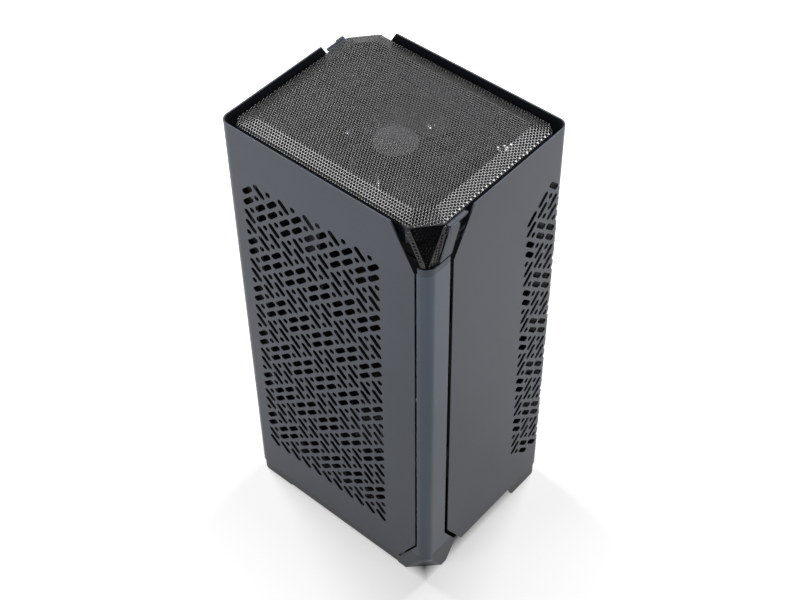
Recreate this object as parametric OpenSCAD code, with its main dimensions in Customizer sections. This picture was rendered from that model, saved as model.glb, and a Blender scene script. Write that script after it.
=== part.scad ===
// Tower case for a small square mainboard: two folded perforated panels wrap a slim
// chassis, two corner columns close them, and a mesh cover sits over the exhaust fan.
// Millimetres, +Z up, origin on the floor under the middle of the case.
// The -Y side is the front, the +X side is the right.

/* [Case] */
// Width over the panels, left to right
case_w = 210.5; // [180:0.5:260]
// Depth over the panels, front to back
case_d = 170; // [155:0.5:220]
// Height of the panels' top rim above the floor
rim_z = 444; // [360:1:540]

/* [Folded panels] */
// Thickness of the panel sheet
sheet_t = 1.2; // [0.8:0.1:2]
// Outer radius of the panel's corner bend
bend_r = 9; // [5:0.5:10]
// Height of the left panel's lower edge above the floor
left_sill_z = 13.5; // [10:0.5:16]
// Height of the right panel's lower edge above the floor
right_sill_z = 16.3; // [14:0.1:18]
// Distance from a column's corner to the free edge on a wide wall
wide_end = 12.8; // [12:0.2:18]
// Distance from a column's corner to the free edge on a narrow wall
narrow_end = 30.2; // [28:0.1:36]
// Length that the slanted cut takes off a panel's top edge
top_slant = 23; // [10:0.5:28]
// Length that the slanted cut takes off a panel's lower edge
low_slant = 21; // [10:0.5:26]
// Drop of the slanted cuts for each millimetre of their run
slant_rate = 1.75; // [1.2:0.05:2]

/* [Perforation] */
// Distance between slot columns
slot_pitch = 13.25; // [12.5:0.05:18]
// Distance between full slot rows
row_pitch = 28.43; // [27:0.01:36]
// Width of a slot, and diameter of the round holes between slots
slot_w = 5.2; // [3:0.1:5.6]
// Distance between the centres of a slot's two round ends
slot_run = 9.6; // [7:0.1:10]
// Lean of the slots from level
slot_lean = 45; // [40:1:50]
// Drop from the rim to the first full slot row
first_row_drop = 71.6; // [60:0.1:90]
// Height of the last full slot row above the floor
last_row_z = 59.7; // [56:0.1:80]
// Distance from the left panel's bend corner to its first slot column
front_field_start = 24.55; // [20:0.05:34]
// Plain width between the last slot column and a column's corner
field_margin = 52; // [40:1:70]

/* [Corner columns] */
// Wall of a corner column
column_t = 1.6; // [1.2:0.1:2.4]
// Width of a column's leg on the wide side
column_short = 10.7; // [10:0.1:12]
// Width of a column's leg on the narrow side
column_long = 25.9; // [22:0.1:27]
// Depth of the lips that a column turns inwards
column_lip = 8; // [5:0.5:10]
// Distance from the rim down to the top of a column
column_drop = 38; // [36:0.2:48]
// Height of the seam between a column and its foot
foot_seam_z = 36.3; // [30:0.1:44]

/* [Base] */
// Inset of the base from the faces of the panels
base_inset = 1; // [0.6:0.1:1.5]
// Wall of the base moulding
base_t = 2.4; // [1.8:0.1:4]
// Length along each face of the cut corner under a column
foot_cut = 26.3; // [20:0.1:30]
// Slope of the cut corner, inward run for each millimetre of height
foot_cut_rate = 0.637; // [0.5:0.01:0.8]
// Height of the deck of the base
deck_z = 24; // [22:0.5:28]
// Distance from a panel's bend corner to the cable opening in the base
cable_gap_far = 46.4; // [38:0.1:56]

/* [Chassis] */
// Thickness of the inner steel sheet
steel_t = 1; // [0.8:0.1:1.5]
// Gap between a panel and the posts inside it
post_gap = 3; // [2:0.1:5]
// Width of a post's flange
post_w = 26; // [20:1:30]
// Height of the upper face of the lower deck
lower_deck_z = 78; // [66:1:90]
// Distance from the rim down to the upper face of the roof plate
roof_drop = 22; // [21:0.5:30]
// Position of the dividing wall's front face, behind the middle
divider_y = 6; // [0:0.5:12]

/* [Fan] */
// Side of the square fan
fan_size = 120; // [92:1:120]
// Depth of the fan
fan_depth = 25; // [15:1:30]
// Spacing of the fan's screw holes
fan_pitch = 105; // [82:0.5:105]
// Height of the fan above the roof plate's upper face
fan_proud = 3; // [0:0.5:4]
// Distance of the fan's axis to the right of the middle
fan_x = 2; // [-4:0.5:4]
// Number of fan blades
blade_count = 7; // [5:1:9]

/* [Cover] */
// Gap from the faces of the panels to the edge of the cover mesh, left and right
cover_inset_x = 5.85; // [5:0.05:8]
// Gap from the faces of the panels to the edge of the cover mesh, front and back
cover_inset_y = 6.3; // [5:0.05:8]
// Width of the sloping border of the mesh
cover_slope = 13.6; // [8:0.2:20]
// Height of the flat top of the mesh above the rim
cover_proud = 1; // [0:0.5:4]
// Drop of the mesh's sloping border
cover_fall = 5; // [3:0.5:8]
// Length that the cover's cut corners take off its wide sides
cover_cut_x = 16.8; // [12:0.2:22]
// Length that the cover's cut corners take off its narrow sides
cover_cut_y = 19.4; // [14:0.2:24]
// Radius of the cover's round corners
cover_r = 12; // [6:0.5:14]
// Distance between the cover's holes
mesh_pitch = 8; // [7:0.5:12]
// Diameter of the cover's holes
mesh_hole = 5.8; // [3:0.1:6]
// Distance of the two left cover pins from the middle
pin_left = 65; // [55:1:70]
// Distance of the two right cover pins from the middle
pin_right = 48; // [40:1:60]
// Distance of the cover pins from the middle, front and back
pin_side = 70; // [68:0.5:72]

/* [Controls] */
// Diameter of the power button
button_d = 12; // [8:0.5:14]
// Travel of the power button
button_travel = 1.2; // [0.6:0.1:2]
// Drop from the top of the column to the power button
button_drop = 26; // [20:1:40]

/* [Clearances] */
// Gap between a sliding piece and what it slides in
slide_gap = 0.3; // [0.2:0.05:0.6]
// Gap between the pieces of a seam that shows
seam_gap = 0.25; // [0.15:0.05:0.5]
// Radial gap of the fan's shaft in its bearing
bearing_gap = 0.03; // [0.02:0.01:0.08]

/* [Hidden] */
$fn = 48;
gunmetal = [0.27, 0.3, 0.33];
dark_steel = [0.12, 0.13, 0.14];
pale_steel = [0.42, 0.45, 0.48];
black_plastic = [0.07, 0.07, 0.08];
silver = [0.75, 0.77, 0.8];
hw = case_w / 2;
hd = case_d / 2;
eps = 0.01;
through = 2;
column_top = rim_z - column_drop;
roof_z = rim_z - roof_drop;
roof_under = roof_z - steel_t;
post_x = hw - sheet_t - post_gap;
post_y = hd - sheet_t - post_gap;
plate_z = deck_z + steel_t;
divider_back = divider_y + steel_t;

// Slot field
rows = 1 + round((rim_z - first_row_drop - last_row_z) / row_pitch);
row_step = 0.4 * row_pitch;
half_step = (row_pitch - row_step) / 2;
hole_shift = slot_pitch / 4;
front_columns = 1 + floor((case_w - field_margin - front_field_start) / slot_pitch + eps);
bend_arc = PI / 2 * (bend_r - sheet_t / 2);
side_wrap = 1.9;
back_wrap = 2 * bend_r - bend_arc - side_wrap;
side_columns = 3;
back_columns = floor((case_w - field_margin - back_wrap) / slot_pitch + eps);
bend_squeeze = 0.9;
function row_z(k) = rim_z - first_row_drop - k * row_pitch;
function row_lean(k) = (k % 2 == 0) ? slot_lean : -slot_lean;

// Studs that hang the panels on the posts, and their keyholes
stud_d = 4;
stud_head = 8;
stud_head_t = 1.5;
stud_lift = 12;
stud_front = 15.5;
stud_side = 19.5;
stud_zs = [right_sill_z + 22, rim_z - 44];

// Base
skirt_low = 2;
inner_inset = sheet_t + 0.6;
foot_low = 0.5;
foot_floor = 3;
pad_d = 11;
pad_recess = 1.5;
pad_column_edge = 18.3;
pad_bend_edge = 14;
deck_ring_w = 12;
cable_top = deck_z - 4.2;
front_taper = 1;
side_taper = 1.7;

// Chassis openings
port_w = 158.75;
port_d = 44.45;
card_pitch = 20.32;
card_slots = 3;
card_w = 13;
card_len = 106;
card_x = -20;
divider_flange = 8;
card_y = divider_back + divider_flange + 10;
cover_strip_w = 18.4;
cover_strip_t = 0.8;
inlet_x = 50;
inlet_y = -62;
inlet_w = 27.5;
inlet_d = 20.5;
inlet_pitch = 40;
screw_r = 1.5;
screw_hole_r = 1.7;
supply_z = lower_deck_z + 192;
supply_w = 125;
supply_d = 63.5;
supply_pitch_x = 113;
supply_pitch_y = 51.5;
supply_y = divider_y - 4 - supply_d / 2;
board_hole_x = 157.48;
board_hole_z = 154.94;
board_short_z = 132.08;
board_low_z = lower_deck_z + 12.7;
board_rise = 6.35;

// Fan
fan_top = roof_z + fan_proud;
fan_under = fan_top - fan_depth;
fan_bore_r = fan_size / 2 - 2.3;
fan_open_x = fan_size / 2 + 10.5;
fan_open_y = fan_size / 2 + 4.5;
hub_r = 19;
hub_t = 6;
shaft_r = 1.5;
cup_r = 20;
tray_lip = 10;

// Cover
mesh_t = 1;
seat_gap = 0.2;
cover_x = hw - cover_inset_x;
cover_y = hd - cover_inset_y;
cover_edge_z = rim_z + cover_proud - cover_fall;
cover_flange = 14;
cover_wall = 1.2;
cover_wall_top = cover_edge_z - mesh_t - seat_gap;
shelf_b = 27.4;
cheek_shelf = 8;
edge_a = sheet_t + slide_gap;
edge_end_b = 47.7;
strip_top = column_top + 5.6;
strip_low = column_top + seam_gap;
beak_low = column_top + 6.4;
cheek_low = column_top + 7.1;
pin_r = 2;
pin_head_r = 4.5;

// Controls on the rear column
io_y = hd - 14.5;
io_x = -hw + column_t + 0.15;
board_x = -hw + 8.35;
button_z = column_top - button_drop;
usb_c_z = button_z - 22;
usb_a_zs = [usb_c_z - 19, usb_c_z - 37];
audio_z = usb_c_z - 54;
io_low = audio_z - 9;
io_high = button_z + 10;
socket_inset = 0.3;

module slot_shape(lean) {
    rotate(lean) {
        square([slot_run, slot_w], center = true);
        translate([slot_run / 2, 0]) circle(d = slot_w);
        translate([-slot_run / 2, 0]) circle(d = slot_w);
    }
}

// One column of the field. Even columns have their extra slot above each full row, odd
// ones below it, and a round hole stands where the lean changes.
module slot_column(even, last_row, squeeze = 1) {
    extra = even ? row_step : -row_step;
    scale([squeeze, 1]) for (k = [0:last_row]) {
        side = (k % 2 == 0) ? hole_shift : -hole_shift;
        hole_drop = even ? half_step : row_step + half_step;
        translate([0, row_z(k)]) slot_shape(row_lean(k));
        if (even || k < rows - 1) translate([0, row_z(k) + extra]) slot_shape(row_lean(k));
        if (k < rows - 1) translate([side, row_z(k) - hole_drop]) circle(d = slot_w);
    }
}

// What a column has above its first full row
module slot_column_head(even) {
    above = row_z(0) + row_pitch;
    if (even) translate([-hole_shift, above - half_step]) circle(d = slot_w);
    if (!even) translate([0, above - row_step]) slot_shape(-slot_lean);
    if (!even) translate([-hole_shift, above - row_step - half_step]) circle(d = slot_w);
}

module front_field() {
    for (c = [0:front_columns - 1]) {
        translate([front_field_start + c * slot_pitch, 0]) {
            slot_column(c % 2 == 0, rows - 1);
            if (c > 0) slot_column_head(c % 2 == 0);
        }
    }
}

module back_field() {
    for (c = [1:back_columns]) {
        translate([back_wrap + c * slot_pitch, 0]) {
            slot_column(c % 2 == 0, rows - 1);
            slot_column_head(c % 2 == 0);
        }
    }
}

module side_field() {
    for (c = [1:side_columns]) {
        last = (c == side_columns) ? rows - 2 : rows - 1;
        translate([-(side_wrap + c * slot_pitch), 0]) {
            slot_column(c % 2 == 0, last);
            if (c == 1) slot_column_head(false);
        }
    }
}

// A wall drawn with u from the bend's corner and v up, in the sheet's own plane
module wall_outline(length, end, sill_z) {
    free = length - end;
    polygon([[bend_r, sill_z], [free - low_slant, sill_z],
        [free, sill_z + low_slant * slant_rate], [free, rim_z - top_slant * slant_rate],
        [free - top_slant, rim_z], [bend_r, rim_z]]);
}

// A panel in the left panel's place: wide wall in front, narrow wall on the left
module panel_walls(sill_z) {
    translate([-hw, -hd + sheet_t, 0]) rotate([90, 0, 0]) linear_extrude(sheet_t) difference() {
        wall_outline(case_w, wide_end, sill_z);
        children(0);
    }
    translate([-hw, -hd, 0]) rotate([90, 0, 90]) linear_extrude(sheet_t) difference() {
        wall_outline(case_d, narrow_end, sill_z);
        mirror([1, 0]) children(1);
    }
}

module panel_bend(sill_z) {
    translate([-hw + bend_r, -hd + bend_r, sill_z]) linear_extrude(rim_z - sill_z) difference() {
        intersection() {
            circle(r = bend_r);
            translate([-bend_r, -bend_r]) square(bend_r);
        }
        circle(r = bend_r - sheet_t);
    }
}

// Notches in the left panel's lower edge, each given as its start and its width
module sill_notches() {
    for (notch = [[65, 13.4], [92.1, 14.8], [146.7, 3]]) {
        translate([notch[0], left_sill_z - through]) square([notch[1], through + sheet_t]);
    }
}

module left_panel() {
    color(gunmetal) {
        panel_walls(left_sill_z) {
            union() {
                front_field();
                sill_notches();
            }
            union() {}
        }
        panel_bend(left_sill_z);
    }
}

module right_panel() {
    color(gunmetal) rotate([0, 0, 180]) {
        panel_walls(right_sill_z) {
            back_field();
            side_field();
        }
        difference() {
            panel_bend(right_sill_z);
            translate([-hw + bend_r, -hd + bend_r, 0]) rotate([90, 0, -45])
                linear_extrude(2 * bend_r) slot_column(true, rows - 1, bend_squeeze);
        }
    }
}

// Studs inside a panel, beside its bend
module panel_studs() {
    for (z = stud_zs) {
        translate([-hw + stud_front, -hd + sheet_t, z]) rotate([-90, 0, 0]) stud();
        translate([-hw + sheet_t, -hd + stud_side, z]) rotate([0, 90, 0]) stud();
    }
}

module stud() {
    reach = post_gap + steel_t + slide_gap;
    cylinder(h = reach, d = stud_d);
    translate([0, 0, reach]) cylinder(h = stud_head_t, d1 = stud_head, d2 = stud_head - through);
}

module left_panel_studs() {
    color(silver) panel_studs();
}

module right_panel_studs() {
    color(silver) rotate([0, 0, 180]) panel_studs();
}

// An L post inside a panel's bend, with a keyhole for each stud
module panel_post() {
    difference() {
        translate([-post_x, -post_y, plate_z]) linear_extrude(roof_under - plate_z) {
            square([post_w, steel_t]);
            square([steel_t, post_w]);
        }
        for (z = stud_zs) {
            translate([-hw + stud_front, -hd, z]) rotate([-90, 0, 0]) mirror([0, 1, 0]) keyhole();
            translate([-hw, -hd + stud_side, z]) rotate([90, 0, 90]) keyhole();
        }
    }
}

// Keyhole with its way in above: x across, y up
module keyhole() {
    linear_extrude(post_w / 2) {
        circle(d = stud_d + 2 * slide_gap);
        translate([-stud_d / 2 - slide_gap, 0]) square([stud_d + 2 * slide_gap, stud_lift]);
        translate([0, stud_lift]) circle(d = stud_head + 2 * slide_gap);
    }
}

module left_post() {
    color(dark_steel) panel_post();
}

module right_post() {
    color(dark_steel) rotate([0, 0, 180]) panel_post();
}

// Puts a shape onto the front column's corner: x from the corner along the front, y back
module at_front_corner() {
    translate([hw, -hd, 0]) mirror([1, 0, 0]) children();
}

// Stands an outline of distance along the front and height on the front face
module on_front(depth) {
    at_front_corner() translate([0, depth, 0]) rotate([90, 0, 0]) linear_extrude(depth) children();
}

// Stands an outline of distance along the side and height on the side face
module on_side(depth) {
    at_front_corner() rotate([90, 0, 90]) linear_extrude(depth) children();
}

// Quarter ring round the corner, with a leg on each side of it
module corner_ring(short_leg, long_leg, wall) {
    difference() {
        union() {
            translate([bend_r - eps, 0]) square([short_leg - bend_r + eps, wall]);
            translate([0, bend_r - eps]) square([wall, long_leg - bend_r + eps]);
            intersection() {
                translate([bend_r, bend_r]) circle(r = bend_r);
                square(bend_r);
            }
        }
        translate([bend_r, bend_r]) circle(r = bend_r - wall);
    }
}

// Everything outside the cut corner of a foot, moved in by extra
module foot_wedge(extra = 0) {
    high = 2 * foot_seam_z;
    at_front_corner() rotate([0, 0, 45]) rotate([90, 0, 0])
        translate([0, 0, -case_d / 2]) linear_extrude(case_d)
        polygon([[-case_w, -through],
            [(foot_cut + extra + through * foot_cut_rate) / sqrt(2), -through],
            [(foot_cut + extra - high * foot_cut_rate) / sqrt(2), high], [-case_w, high]]);
}

// A column's leg, spreading at its lower end beside the panel's slanted edge
module leg_outline(leg, sill_z) {
    spread_z = sill_z + low_slant * slant_rate;
    polygon([[bend_r, foot_seam_z], [leg + (spread_z - foot_seam_z) / slant_rate, foot_seam_z],
        [leg, spread_z], [leg, column_top], [bend_r, column_top]]);
}

module column_body() {
    lip_low = right_sill_z + low_slant * slant_rate + 1;
    difference() {
        union() {
            on_front(column_t) leg_outline(column_short, left_sill_z);
            on_side(column_t) leg_outline(column_long, right_sill_z);
            translate([0, 0, lip_low]) linear_extrude(column_top - lip_low) at_corner_2d() {
                translate([column_short - column_t, 0]) square([column_t, column_lip]);
                translate([0, column_long - column_t]) square([column_lip, column_t]);
            }
            translate([0, 0, foot_seam_z / 2]) linear_extrude(column_top - foot_seam_z / 2)
                at_corner_2d() corner_ring(bend_r, bend_r, column_t);
        }
        foot_wedge();
    }
}

module at_corner_2d() {
    translate([hw, -hd]) mirror([1, 0]) children();
}

module front_column() {
    color(gunmetal) column_body();
}

module rear_column() {
    color(gunmetal) difference() {
        rotate([0, 0, 180]) column_body();
        io_hole(button_z, button_d + 2 * slide_gap, 2 * column_t);
        io_hole(audio_z, 7, 2 * column_t);
        translate([-hw - through, io_y, usb_c_z]) port_hole(9.6, 3.8, 1.8);
        for (z = usb_a_zs) {
            translate([-hw - through, io_y, z]) port_hole(13.7, 6.3, 0.6);
        }
    }
}

// Round hole from outside the rear column's side face to depth inside it
module io_hole(z, d, depth) {
    translate([-hw - through, io_y, z]) rotate([0, 90, 0]) cylinder(h = through + depth, d = d);
}

// Long hole, upright, with round corners
module port_hole(long, wide, r, depth = 2 * column_t) {
    rotate([90, 0, 90]) linear_extrude(through + depth) round_rect(wide, long, r);
}

module round_rect(w, h, r) {
    square([w - 2 * r, h], center = true);
    square([w, h - 2 * r], center = true);
    for (x = [-1, 1]) for (y = [-1, 1]) {
        translate([x * (w / 2 - r), y * (h / 2 - r)]) circle(r = r);
    }
}

// Wall that follows the case's outline between two insets
module outline_ring(inset, wall) {
    difference() {
        round_rect(case_w - 2 * inset, case_d - 2 * inset, bend_r - inset);
        round_rect(case_w - 2 * (inset + wall), case_d - 2 * (inset + wall),
            max(bend_r - inset - wall, 1));
    }
}

// The half of the plan that the right panel covers
module right_half() {
    polygon([[case_w, -case_d], [case_w, case_d], [-case_w, case_d]]);
}

module base_ring() {
    low_top = left_sill_z - seam_gap;
    translate([0, 0, skirt_low]) linear_extrude(low_top - skirt_low) outline_ring(base_inset, base_t);
    translate([0, 0, low_top - eps]) linear_extrude(right_sill_z - left_sill_z + eps) intersection() {
        outline_ring(base_inset, base_t);
        right_half();
    }
    translate([0, 0, low_top - base_t]) linear_extrude(deck_z - low_top + base_t)
        outline_ring(inner_inset, base_t);
    translate([0, 0, deck_z - base_t]) linear_extrude(base_t)
        outline_ring(inner_inset, deck_ring_w);
}

// Room for the foot and the cable opening behind it, through the right side of the base
module cable_opening() {
    far = case_d - cable_gap_far;
    slope = 7;
    at_front_corner() translate([-through, 0, 0]) rotate([90, 0, 90])
        linear_extrude(through + base_inset + 2 * base_t)
        polygon([[-through, -through], [-through, cable_top], [far, cable_top],
            [far + slope, -through]]);
}

// Stretches of the skirt that reach the floor beside the right panel's bend
module bend_feet() {
    side_from = hd - 39;
    side_len = 31;
    back_from = hw - 40;
    back_len = 29;
    plan_w = case_w - 2 * base_inset;
    plan_d = case_d - 2 * base_inset;
    translate([0, 0, foot_low]) linear_extrude(skirt_low + eps - foot_low) intersection() {
        outline_ring(base_inset, base_t);
        union() {
            translate([hw - bend_r, side_from]) square([bend_r, side_len]);
            translate([back_from, hd - bend_r]) square([back_len, bend_r]);
        }
    }
    translate([0, 0, foot_low]) linear_extrude(foot_floor) intersection() {
        round_rect(plan_w, plan_d, bend_r - base_inset);
        polygon([[hw, hd], [hw, side_from], [back_from, hd]]);
    }
}

// Section of a foot's cheek, which leans in by taper at the floor
module lean_profile(taper) {
    polygon([[taper, 0], [taper + base_t, 0], [base_t, foot_seam_z], [0, foot_seam_z]]);
}

// The foot under a column, with its flat cut corner
module corner_foot() {
    top = foot_seam_z - seam_gap;
    start = bend_r + seam_gap;
    front_end = column_short + (left_sill_z + low_slant * slant_rate - top) / slant_rate;
    side_end = column_long + (right_sill_z + low_slant * slant_rate - top) / slant_rate;
    front_run = (top - left_sill_z + seam_gap) / slant_rate;
    side_run = (top - deck_z) / slant_rate;
    foot_front = foot_cut + 8;
    foot_side = foot_cut + 4.7;
    difference() {
        union() {
            intersection() {
                at_front_corner() rotate([90, 0, 90]) linear_extrude(hd) lean_profile(front_taper);
                on_front(2 * base_t) polygon([[start, foot_low], [start, top], [front_end, top],
                    [front_end + front_run, left_sill_z - seam_gap],
                    [foot_front + 4, left_sill_z - seam_gap], [foot_front, foot_low]]);
            }
            intersection() {
                at_front_corner() translate([0, hd, 0]) rotate([90, 0, 0]) linear_extrude(hd)
                    lean_profile(side_taper);
                on_side(2 * base_t) polygon([[start, foot_low], [start, top], [side_end, top],
                    [side_end + side_run, deck_z], [foot_side, foot_low]]);
            }
            intersection() {
                foot_wedge(base_t * sqrt(2));
                translate([0, 0, foot_low]) linear_extrude(top - foot_low - 5) at_corner_2d()
                    foot_plan();
            }
            translate([0, 0, foot_low]) linear_extrude(foot_floor) at_corner_2d() intersection() {
                foot_plan();
                polygon([[0, 0], [foot_front, 0], [foot_front, foot_front / 2],
                    [foot_side / 2, foot_side], [0, foot_side]]);
            }
        }
        foot_wedge();
        translate([0, 0, -through]) linear_extrude(case_d) at_corner_2d()
            corner_ring(bend_r + seam_gap, bend_r + seam_gap, column_t + seam_gap);
    }
}

module foot_plan() {
    translate([side_taper, front_taper]) square(foot_cut + 8);
}

module base_frame() {
    color(gunmetal) difference() {
        union() {
            difference() {
                base_ring();
                half_turn() {
                    cable_opening();
                    foot_wedge();
                }
            }
            half_turn() {
                corner_foot();
                bend_feet();
            }
        }
        pad_places() translate([0, 0, foot_low - through])
            cylinder(h = through + pad_recess, d = pad_d + 2 * eps);
    }
}

// A shape and its copy turned half round the case's axis
module half_turn() {
    children();
    rotate([0, 0, 180]) children();
}

module pad_places() {
    half_turn() {
        at_front_corner() translate([pad_column_edge, pad_column_edge, 0]) children();
        translate([hw - pad_bend_edge, hd - pad_bend_edge, 0]) children();
    }
}

module rubber_feet() {
    color(black_plastic) pad_places() cylinder(h = foot_low + pad_recess, d = pad_d);
}

// Plan of the inner plates: inside the posts, cut at the columns
module plate_plan(x, y, cut) {
    polygon([[-x, -y], [x - cut, -y], [x, -y + cut], [x, y], [-x + cut, y], [-x, y - cut]]);
}

module base_plate() {
    rim = 20;
    color(dark_steel) translate([0, 0, deck_z]) linear_extrude(steel_t) difference() {
        plate_plan(post_x, post_y, foot_cut + 6);
        round_rect(2 * (post_x - rim - 12), 2 * (post_y - rim + 2), 10);
    }
}

// Deck over the cable space, on two legs that leave the sides open
module lower_deck() {
    x = post_x - steel_t;
    y = post_y - steel_t;
    leg_x = x - foot_cut - 14;
    color(dark_steel) {
        translate([0, 0, lower_deck_z - steel_t]) linear_extrude(steel_t) difference() {
            plate_plan(x, y, foot_cut + 6);
            translate([-port_w / 2, divider_y - 3 - port_d]) square([port_w, port_d]);
            for (k = [0:card_slots - 1]) {
                translate([card_x, card_y + k * card_pitch]) square([card_len, card_w], center = true);
                translate([card_x + card_len / 2 + 6, card_y + k * card_pitch]) circle(r = screw_hole_r);
            }
            translate([inlet_x, inlet_y]) square([inlet_w, inlet_d], center = true);
            for (side = [-1, 1]) {
                translate([inlet_x + side * inlet_pitch / 2, inlet_y]) circle(r = screw_hole_r);
            }
        }
        for (side = [-1, 1]) {
            translate([-leg_x, side > 0 ? y - steel_t : -y, plate_z])
                cube([2 * leg_x, steel_t, lower_deck_z - plate_z - eps]);
        }
    }
}

// Wall between the board's side and the card's side, with a tab on each side of the fan
module divider_wall() {
    x = post_x - 6;
    low = lower_deck_z;
    fan_room = fan_under - steel_t - 4;
    tab_x = fan_x + fan_open_x + steel_t + tray_lip + 1;
    color(dark_steel) {
        translate([0, divider_back, 0]) rotate([90, 0, 0]) linear_extrude(steel_t) difference() {
            translate([-x, low]) square([2 * x, roof_under - low]);
            for (p = concat(board_holes(), supply_flange_holes())) {
                translate(p) circle(r = screw_hole_r);
            }
            translate([-tab_x, fan_room]) square([2 * tab_x, roof_under]);
            translate([0, low + 60]) round_rect(70, 70, 6);
            translate([-x + 16, low + 215]) round_rect(14, 60, 6.9);
            translate([x - 16, low + 215]) round_rect(14, 60, 6.9);
            translate([0, fan_room - 30]) round_rect(110, 30, 8);
        }
        translate([-x, divider_back - eps, low]) cube([2 * x, divider_flange, steel_t]);
        for (from = [-x, tab_x]) {
            translate([from, divider_back - eps, roof_under - steel_t])
                cube([x - tab_x, divider_flange, steel_t]);
        }
    }
}

function board_holes() = [[-board_hole_x / 2, board_low_z],
    [board_hole_x / 2, board_low_z + board_hole_z - board_short_z],
    [-board_hole_x / 2, board_low_z + board_hole_z],
    [board_hole_x / 2, board_low_z + board_hole_z]];

module board_standoffs() {
    color(silver) for (p = board_holes()) {
        translate([p[0], divider_y, p[1]]) rotate([90, 0, 0]) difference() {
            union() {
                cylinder(h = board_rise, d = 6, $fn = 6);
                translate([0, 0, -steel_t - 0.8]) cylinder(h = steel_t + 1, r = screw_r);
            }
            translate([0, 0, through]) cylinder(h = board_rise, r = 1.3);
        }
    }
}

function supply_flange_holes() = [for (x = [-1, 1]) for (z = [0, 1])
    [x * supply_w * 0.42, supply_z + 8 + z * 14]];

// Plate under the power supply, with a flange against the dividing wall
module supply_bracket() {
    rim = 5;
    front = supply_y - supply_d / 2 - rim;
    color(dark_steel) {
        translate([0, 0, supply_z - steel_t]) linear_extrude(steel_t) difference() {
            translate([-supply_w / 2 - rim, front]) square([supply_w + 2 * rim, divider_y - front]);
            translate([0, supply_y]) round_rect(supply_w - 24, supply_d - 22, 4);
            for (x = [-1, 1]) for (y = [-1, 1]) {
                translate([x * supply_pitch_x / 2, supply_y + y * supply_pitch_y / 2]) circle(r = 1.9);
            }
        }
        translate([0, divider_y, 0]) rotate([90, 0, 0]) linear_extrude(steel_t) difference() {
            translate([-supply_w / 2 - rim, supply_z - eps]) square([supply_w + 2 * rim, 30]);
            for (p = supply_flange_holes()) {
                translate(p) circle(r = screw_hole_r);
            }
        }
    }
}

module supply_screws() {
    color(silver) for (p = supply_flange_holes()) {
        translate([p[0], divider_y - steel_t, p[1]]) rotate([-90, 0, 0]) pan_screw(5);
    }
}

// Screw pointing up from the face that its head bears on
module pan_screw(length) {
    cylinder(h = length, r = screw_r);
    translate([0, 0, -2]) difference() {
        cylinder(h = 2, r = 2.9);
        translate([0, 0, -eps]) {
            translate([-1.8, -0.35, 0]) cube([3.6, 0.7, 1]);
            translate([-0.35, -1.8, 0]) cube([0.7, 3.6, 1]);
        }
    }
}

module slot_covers() {
    color(dark_steel) for (k = [0:card_slots - 1]) {
        translate([card_x, card_y + k * card_pitch, lower_deck_z]) {
            linear_extrude(cover_strip_t) difference() {
                translate([-card_len / 2 - 4, -cover_strip_w / 2])
                    square([card_len + 14, cover_strip_w]);
                translate([card_len / 2 + 6, 0]) circle(r = screw_hole_r);
                for (hole = [-4:4]) {
                    translate([hole * 10, 0]) round_rect(4, 10, 1.9);
                }
            }
            translate([card_len / 2 + 10 - cover_strip_t, -cover_strip_w / 2, 0])
                cube([cover_strip_t, cover_strip_w, 9]);
        }
    }
}

module slot_screws() {
    color(silver) for (k = [0:card_slots - 1]) {
        translate([card_x + card_len / 2 + 6, card_y + k * card_pitch, lower_deck_z + cover_strip_t])
            mirror([0, 0, 1]) pan_screw(5);
    }
}

// Mains inlet that a plug enters from below
module mains_inlet() {
    flange_t = 3;
    depth = 18;
    low = lower_deck_z - steel_t - flange_t;
    color(black_plastic) translate([inlet_x, inlet_y, low]) {
        difference() {
            union() {
                linear_extrude(flange_t) difference() {
                    round_rect(inlet_pitch + 10, inlet_d + 3, 4);
                    for (side = [-1, 1]) {
                        translate([side * inlet_pitch / 2, 0]) circle(r = screw_hole_r);
                    }
                }
                linear_extrude(depth + flange_t) square([inlet_w - 0.5, inlet_d - 0.5], center = true);
            }
            translate([0, 0, -eps]) linear_extrude(depth) polygon([[-12, -8], [12, -8], [12, 4],
                [8, 8], [-8, 8], [-12, 4]]);
        }
        for (p = [[-7, -2], [0, 2], [7, -2]]) {
            translate([p[0] - 1, p[1] - 2, 4]) cube([2, 4, depth - 4 + eps]);
        }
    }
}

module inlet_screws() {
    color(silver) for (side = [-1, 1]) {
        translate([inlet_x + side * inlet_pitch / 2, inlet_y, lower_deck_z - steel_t - 3])
            pan_screw(7);
    }
}

module roof_plate() {
    color(pale_steel) translate([0, 0, roof_under]) linear_extrude(steel_t) difference() {
        plate_plan(post_x, post_y, foot_cut + 4);
        translate([fan_x, 0]) square([2 * fan_open_x, 2 * fan_open_y], center = true);
        pin_places() circle(r = pin_r + slide_gap);
    }
}

module pin_places() {
    for (y = [-pin_side, pin_side]) {
        translate([-pin_left, y]) children();
        translate([pin_right, y]) children();
    }
}

// Tray that hangs the fan under the roof's opening
module fan_tray() {
    low = fan_under - steel_t;
    half = fan_open_x;
    color(dark_steel) translate([fan_x, 0, 0]) {
        translate([0, 0, low]) linear_extrude(steel_t) difference() {
            square([2 * half, fan_size], center = true);
            circle(r = fan_bore_r);
            fan_corners() circle(r = screw_hole_r + 0.4);
        }
        for (side = [-1, 1]) {
            translate([side > 0 ? half - eps : -half - steel_t + eps, -fan_size / 2, low])
                cube([steel_t, fan_size, roof_under - low]);
            translate([side > 0 ? half : -half - tray_lip, -fan_size / 2, roof_under - steel_t])
                cube([tray_lip, fan_size, steel_t]);
        }
    }
}

module fan_corners() {
    for (x = [-1, 1]) for (y = [-1, 1]) {
        translate([x * fan_pitch / 2, y * fan_pitch / 2]) children();
    }
}

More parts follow.
